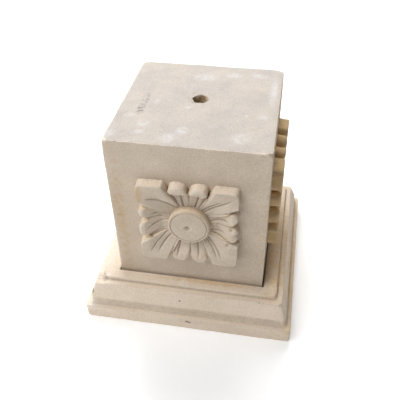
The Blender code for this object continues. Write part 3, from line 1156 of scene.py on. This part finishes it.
def join(name, meshes):
    """Several meshes as one, with their attributes."""
    bm = bmesh.new()
    for mesh in meshes:
        bm.from_mesh(mesh)
    joined = bpy.data.meshes.new(name)
    bm.to_mesh(joined)
    bm.free()
    for label in ATTRIBUTES:
        paint(joined, label, np.concatenate([painted(mesh, label) for mesh in meshes]))
    return joined


carvings = []
for number, (side, turn, shift, petals, flower_size, boss_size, knocks, stain_and_shade) in enumerate(SIDES):
    out = BLOCK_DEPTH / 2 if turn % 180 == 0 else BLOCK_WIDTH / 2
    place = Matrix.Rotation(math.radians(turn), 4, "Z")
    place = place @ Matrix.Translation((shift, -out, PANEL_MIDDLE))
    flower = flower_mesh(side + " flower", petals, *flower_size, 71 + 10 * number, knocks, stain_and_shade)
    flower.transform(place)
    boss = boss_mesh(side + " boss", *boss_size, 81 + 10 * number, stain_and_shade)
    boss.transform(place @ Matrix.Translation((BOSS_OFFSET[0], 0, BOSS_OFFSET[1])))
    carvings += [flower, boss]
block_mesh = join("block", [block_mesh, *carvings])
block_mesh.transform(Matrix.Translation((BLOCK_X, BLOCK_Y, 0))
                     @ Matrix.Rotation(BLOCK_TURN, 4, "Z"))
block_mesh.calc_loop_triangles()
print("carved block:", len(block_mesh.loop_triangles), "triangles")

# %% [markdown]
# ## Stone
#
# The stone is a pale, fine-grained limestone: cream with soft mottling, a fine speckle, and a
# dusty, greyer bloom on surfaces that face up. The patterns read Object coordinates, so they sit
# still in the stone and cross from one face to the next, as they do in a real block. A stain, a
# chalky smear, and each patch of painted light and of painted shade, is an ellipse of its own with
# a ragged edge, because it lies where it lies.

# %% Colours and helpers for the stone
CREAM = (0.665, 0.567, 0.462, 1)
BUFF = (0.590, 0.492, 0.388, 1)
PALE_CREAM = (0.860, 0.732, 0.598, 1)
PALE_BUFF = (0.775, 0.652, 0.520, 1)
BLOOM = (0.450, 0.412, 0.378, 1)
CHALK = (0.590, 0.575, 0.560, 1)
# Chalk on the base, and painted light on its left ledge.
PALE_CHALK_AND_LIGHT = (0.860, 0.790, 0.700, 1)
WARM_STAIN_AND_SHADE = (0.890, 0.750, 0.510, 1)
# Dirt and painted shade, for hollows, cuts, pits and the drilled hole.
DIRT_AND_SHADE = (0.210, 0.145, 0.085, 1)
RUBBED = (0.780, 0.690, 0.580, 1)
# Painted light: the block's faces that tilt up are made this paler colour.
PAINTED_TOP_LIGHT = (0.900, 0.765, 0.615, 1)


def blend(tree, share, first, second, mode="MIX"):
    """Mix two colours and return the result."""
    node = add_node(tree, "ShaderNodeMix", {"Factor": share}, data_type="RGBA", blend_type=mode)
    for key, value in ((6, first), (7, second)):
        if isinstance(value, bpy.types.NodeSocket):
            tree.links.new(value, node.inputs[key])
        else:
            node.inputs[key].default_value = value
    return node.outputs[2]


def pattern(tree, place, scale, detail=3.0, roughness=0.55):
    """A noise pattern between 0 and 1, with as many features to the metre as its scale."""
    node = add_node(tree, "ShaderNodeTexNoise",
                    {"Vector": place, "Scale": scale, "Detail": detail, "Roughness": roughness})
    return node.outputs["Fac"]


def ranged(tree, value, low, high, out_low=0.0, out_high=1.0):
    """Stretch a value from one range to another, and hold it there."""
    node = add_node(tree, "ShaderNodeMapRange", {
        "Value": value, "From Min": low, "From Max": high, "To Min": out_low, "To Max": out_high})
    return node.outputs[0]


def measure(tree, operation, *sources):
    """One step of vector arithmetic, as a Vector Math node."""
    return add_node(tree, "ShaderNodeVectorMath", dict(enumerate(sources)), operation=operation)


def patches(tree, place, ragged, spots):
    """One mask for many ragged ellipses, each given by its middle and its three radii."""
    total = None
    for middle, radii in spots:
        away = measure(tree, "SUBTRACT", place, middle).outputs[0]
        length = measure(tree, "LENGTH", measure(tree, "DIVIDE", away, radii).outputs[0])
        rough = calculate(tree, "ADD", length.outputs["Value"], ragged)
        mask = ranged(tree, rough, 1.15, 0.55)
        total = mask if total is None else calculate(tree, "MAXIMUM", total, mask)
    return total


print("colours are ready")

# %% [markdown]
# ## Marks on each stone
#
# The block's top has chalky smears and a band of pencil ticks, and an ochre streak runs down its
# front. Its right side is ochre, partly as painted shade, and a chipped corner and the drilled
# hole are painted darker as painted shade. The base's left ledge is paler, as chalk and painted
# light, its right side is ochre, partly as painted shade, and its pits are painted darker as
# painted shade. Each is a middle and three radii, in metres.

# %% List the marks
TOP = block_high.z
# middle and radii of each chalky smear on the top
TOP_SMEARS = (
    (-0.022, -0.086, 0.010, 0.011), (-0.009, -0.069, 0.009, 0.010),
    (-0.058, -0.060, 0.009, 0.009), (-0.059, -0.078, 0.006, 0.005),
    (-0.080, -0.044, 0.007, 0.005), (-0.004, 0.063, 0.020, 0.011),
    (0.035, 0.073, 0.012, 0.009), (0.070, 0.076, 0.013, 0.007),
    (0.062, -0.076, 0.012, 0.012), (0.063, -0.026, 0.003, 0.003),
    (0.084, -0.026, 0.008, 0.006), (-0.053, -0.008, 0.004, 0.007),
    (-0.011, -0.017, 0.005, 0.004), (-0.094, -0.086, 0.009, 0.010),
    (0.092, 0.040, 0.006, 0.040),
)
SMEAR_HEIGHT = 0.004
BLOCK_MARKS = {
    "chalk": [((x, y, TOP), (a, b, SMEAR_HEIGHT)) for x, y, a, b in TOP_SMEARS],
    "ochre_and_shade": (
        ((-0.0865, -0.105, 0.158), (0.010, 0.006, 0.115)),
        ((-0.057, -0.116, 0.217), (0.007, 0.006, 0.019)),
        # The block's right side: partly ochre stain, partly painted shade.
        ((0.116, 0.000, 0.170), (0.026, 0.150, 0.120)),
        ((0.103, 0.030, 0.284), (0.003, 0.090, 0.003)),
        ((-0.0006, 0.0070, 0.264), (0.018, 0.018, 0.0250)),
    ),
    # Painted shade in a chipped corner of the top and in the drilled hole.
    "painted_shade": (
        ((0.097, -0.102, 0.285), (0.003, 0.003, 0.002)),
        ((-0.0006, 0.0070, 0.264), (0.017, 0.017, 0.0245)),
    ),
}
BASE_MARKS = {
    "chalk": (
        # The left ledge is painted paler: chalk and painted light.
        ((-0.130, 0.000, 0.062), (0.034, 0.200, 0.014)),
        ((-0.007, -0.112, 0.0644), (0.008, 0.009, 0.006)),
        ((-0.142, -0.142, 0.022), (0.020, 0.020, 0.010)),
    ),
    "ochre_and_shade": (
        # Partly ochre stain and partly painted shade on the right ledge.
        ((0.118, -0.030, 0.064), (0.020, 0.120, 0.014)),
        ((0.030, -0.107, 0.064), (0.065, 0.005, 0.003)),
        # Partly ochre stain and partly painted shade on the right side.
        ((0.146, 0.000, 0.030), (0.016, 0.150, 0.040)),
        ((0.142, -0.138, 0.022), (0.010, 0.010, 0.008)),
    ),
    # Painted shade in the base's pits and chips.
    "painted_shade": (
        ((0.0033, -0.1422, 0.0146), (0.0052, 0.004, 0.0022)),
        ((-0.0091, -0.1317, 0.0455), (0.0014, 0.003, 0.0014)),
        ((-0.1269, -0.1183, 0.0588), (0.0020, 0.002, 0.0020)),
        ((-0.1350, -0.1300, 0.0440), (0.0030, 0.003, 0.0050)),
    ),
}
print("marks:", sum(len(spots) for marks in (BLOCK_MARKS, BASE_MARKS) for spots in marks.values()))

# %% [markdown]
# ## Mixing the stone
#
# Colours are laid one over another, as in paint: the body of the stone, which on the block is
# painted paler where it faces up, as painted light from above, and on the base turns buff there,
# bloom on the very top, chalk, rubbed arrises, and dirt with painted shade in hollows and pits.
# The ochre stain, partly painted shade on the right-hand sides, lies over them as a glaze, so it
# multiplies what is below it. The speckle comes last.

# %% Mix the stone
PENCIL_FAINT = ((-0.0690, -0.0060, TOP), (0.0055, 0.0240, 0.0030))
PENCIL_DARK = ((-0.0690, -0.0290, TOP), (0.0060, 0.0130, 0.0030))
PENCIL_GREY = (0.13, 0.125, 0.12, 1)
BLOOM_EASE = 0.004
# each pattern's features to the metre, detail and roughness
MOTTLE = (18, 7.0, 0.6)
CLOUDS = (40, 6.0)
UNEVEN = 60
FINE = (170, 3.0)
SMEARED = (170, 5.0)
SPECKLE = (800, 3.0, 0.7)
GRITS = ((700, 3.0), (220, 2.0))


def make_stone(material, marks, body, chalk, bloom_from):
    """Fill a material with stone: its marks, three body colours, chalk, and where bloom starts.
    The third body colour is for faces that tilt up: on the block a paler one, as painted light.
    """
    material.use_nodes = True
    tree = material.node_tree
    shader = tree.nodes["Principled BSDF"]
    place = tree.nodes.new("ShaderNodeTexCoord").outputs["Object"]
    fine = pattern(tree, place, *FINE)
    ragged = ranged(tree, fine, 0.2, 0.8, -0.55, 0.55)

    def times(*sources):
        return calculate(tree, "MULTIPLY", *sources)

    def written(name):
        return add_node(tree, "ShaderNodeAttribute", attribute_name=name).outputs["Fac"]

    def marked(kind):
        return patches(tree, place, ragged, marks[kind])

    colour = blend(tree, ranged(tree, pattern(tree, place, *MOTTLE), 0.36, 0.66), *body[:2])
    facing = split(tree, tree.nodes.new("ShaderNodeNewGeometry").outputs["Normal"])["Z"]
    # Painted light: faces that tilt up take the third body colour, on the block a paler one.
    colour = blend(tree, ranged(tree, facing, 0.4, 0.95, 0.0, 0.9), colour, body[2])
    cloudy = ranged(tree, pattern(tree, place, *CLOUDS), 0.3, 0.7, 0.82, 1.0)
    upward = times(ranged(tree, facing, 0.90, 0.99),
                   ranged(tree, split(tree, place)["Z"], bloom_from, bloom_from + BLOOM_EASE))
    colour = blend(tree, times(upward, cloudy), colour, BLOOM)
    smeared = ranged(tree, pattern(tree, place, *SMEARED), 0.30, 0.62, 0.0, 0.85)
    colour = blend(tree, times(marked("chalk"), smeared), colour, chalk)
    lie = written("shade_dirt_and_rubbing")
    colour = blend(tree, ranged(tree, lie, -0.15, -0.9, 0.0, 0.45), colour, RUBBED)
    # Dirt with painted shade: hollows, cuts, the feet and the boss's wall are darkened by the
    # attribute, and pits and the drilled hole by their marks.
    dirt_and_shade_mask = times(ranged(tree, lie, 0.15, 1.0, 0.0, 0.60), ranged(tree, fine, 0.3, 0.7, 0.7, 1.1))
    colour = blend(tree, dirt_and_shade_mask, colour, DIRT_AND_SHADE)
    colour = blend(tree, times(marked("painted_shade"), 0.85), colour, DIRT_AND_SHADE)
    uneven = pattern(tree, place, UNEVEN)
    # The ochre glaze is a stain, and on the right-hand sides it is also painted shade.
    stain_and_shade = calculate(tree, "MAXIMUM",
                      times(marked("ochre_and_shade"), ranged(tree, uneven, 0.3, 0.7, 0.20, 0.80)),
                      times(written("ochre_and_shade"), ranged(tree, uneven, 0.3, 0.7, 0.75, 1.0)))
    colour = blend(tree, stain_and_shade, colour, WARM_STAIN_AND_SHADE, "MULTIPLY")
    grain = ranged(tree, pattern(tree, place, *SPECKLE), 0.3, 0.7, 0.82, 1.12)
    colour = blend(tree, 1.0, colour, combine(tree, grain, grain, grain), "MULTIPLY")
    tree.links.new(colour, shader.inputs["Base Color"])
    shader.inputs["Roughness"].default_value = 0.9
    shader.inputs["Specular IOR Level"].default_value = 0.2
    rough = calculate(tree, "ADD", *[pattern(tree, place, *grit) for grit in GRITS])
    bump = add_node(tree, "ShaderNodeBump", {"Height": rough, "Strength": 0.6, "Distance": 0.0004})
    tree.links.new(bump.outputs[0], shader.inputs["Normal"])
    return tree, place, shader


def add_pencil(tree, place, shader):
    """Lay a band of plain grey ticks over the colour, as a mason's tally would be."""
    colour = shader.inputs["Base Color"].links[0].from_socket
    ticks = add_node(tree, "ShaderNodeTexWave", {
        "Vector": place, "Scale": 92.0, "Distortion": 2.0, "Detail": 2.0, "Detail Scale": 3.0},
        bands_direction="Y")
    thin = ranged(tree, ticks.outputs["Fac"], 0.48, 0.75)
    broken = ranged(tree, pattern(tree, place, 300, 1.0), 0.40, 0.52)
    faint = calculate(tree, "MULTIPLY", patches(tree, place, 0.0, [PENCIL_FAINT]), 0.7)
    band = calculate(tree, "MAXIMUM", faint, patches(tree, place, 0.0, [PENCIL_DARK]))
    strokes = calculate(tree, "MULTIPLY", thin, broken)
    mask = calculate(tree, "MULTIPLY", strokes, band)
    tree.links.new(blend(tree, mask, colour, PENCIL_GREY), shader.inputs["Base Color"])


make_stone(base_stone, BASE_MARKS, (PALE_CREAM, PALE_BUFF, PALE_BUFF), PALE_CHALK_AND_LIGHT, 1.0)
add_pencil(*make_stone(block_stone, BLOCK_MARKS, (CREAM, BUFF, PAINTED_TOP_LIGHT), CHALK, TOP - 0.006))
print("stone nodes:", len(block_stone.node_tree.nodes))

# %% [markdown]
# ## Setting the pieces in the scene
#
# Each stone stands for one piece of the measured model, which is hidden, and hangs from the root
# body.

# %% Place both stones
def set_in_place(name, mesh, material, node):
    """Make a mesh the visible piece for a node of the model."""
    mesh.materials.clear()
    mesh.materials.append(material)
    mesh.shade_smooth()
    mesh.set_sharp_from_angle(angle=math.radians(40))
    piece = link(name, mesh)
    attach(piece, "root")
    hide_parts(node)
    return piece


base = set_in_place("moulded_base", base_mesh, base_stone, "base")
block = set_in_place("carved_block", block_mesh, block_stone, "block")
print("pieces:", base.name, block.name)

# %% [markdown]
# ## Floor and light
#
# The pedestal stands on a white sweep under three large soft lamps, at the front left, at the
# left and behind. The lit floor throws much of their light back on the stone's sides, as in a
# white studio.

# %% Lay the floor and hang the lights
FLOOR_SIZE = 8.0
LAMP_AIM = (0, 0, 0.15)
# name, place, size in metres, power in watts
LAMPS = (
    ("front left", (-0.78, -0.92, 1.70), 1.5, 27),
    ("left", (-1.50, 0.00, 1.40), 1.2, 9),
    ("back", (-0.20, 1.30, 1.60), 1.5, 52),
)


def lay_floor():
    """A wide white floor, which isn't part of the object."""
    bm = bmesh.new()
    bmesh.ops.create_grid(bm, x_segments=1, y_segments=1, size=FLOOR_SIZE / 2)
    floor = link("floor", mesh_from("floor", bm))
    paint_white = bpy.data.materials.new("white sweep")
    paint_white.use_nodes = True
    shader = paint_white.node_tree.nodes["Principled BSDF"]
    shader.inputs["Base Color"].default_value = (0.95, 0.95, 0.95, 1)
    shader.inputs["Roughness"].default_value = 0.9
    shader.inputs["Specular IOR Level"].default_value = 0.1
    shader.inputs["Emission Color"].default_value = (1, 1, 1, 1)
    shader.inputs["Emission Strength"].default_value = 0.19
    floor.data.materials.append(paint_white)


def hang_lamp(name, place, aim, size, power):
    """A square soft lamp that faces a point."""
    data = bpy.data.lights.new(name, "AREA")
    data.shape = "SQUARE"
    data.size = size
    data.energy = power
    lamp = bpy.data.objects.new(name, data)
    turn = (Vector(aim) - Vector(place)).to_track_quat("-Z", "Y")
    lamp.matrix_world = Matrix.Translation(place) @ turn.to_matrix().to_4x4()
    bpy.context.scene.collection.objects.link(lamp)


lay_floor()
for name, place, size, power in LAMPS:
    hang_lamp(name, place, LAMP_AIM, size, power)
world = bpy.data.worlds.new("studio")
world.use_nodes = True
world.node_tree.nodes["Background"].inputs["Color"].default_value = (1, 1, 1, 1)
world.node_tree.nodes["Background"].inputs["Strength"].default_value = 0.02
bpy.context.scene.world = world
bpy.context.scene.view_settings.view_transform = "Standard"
print("lit")
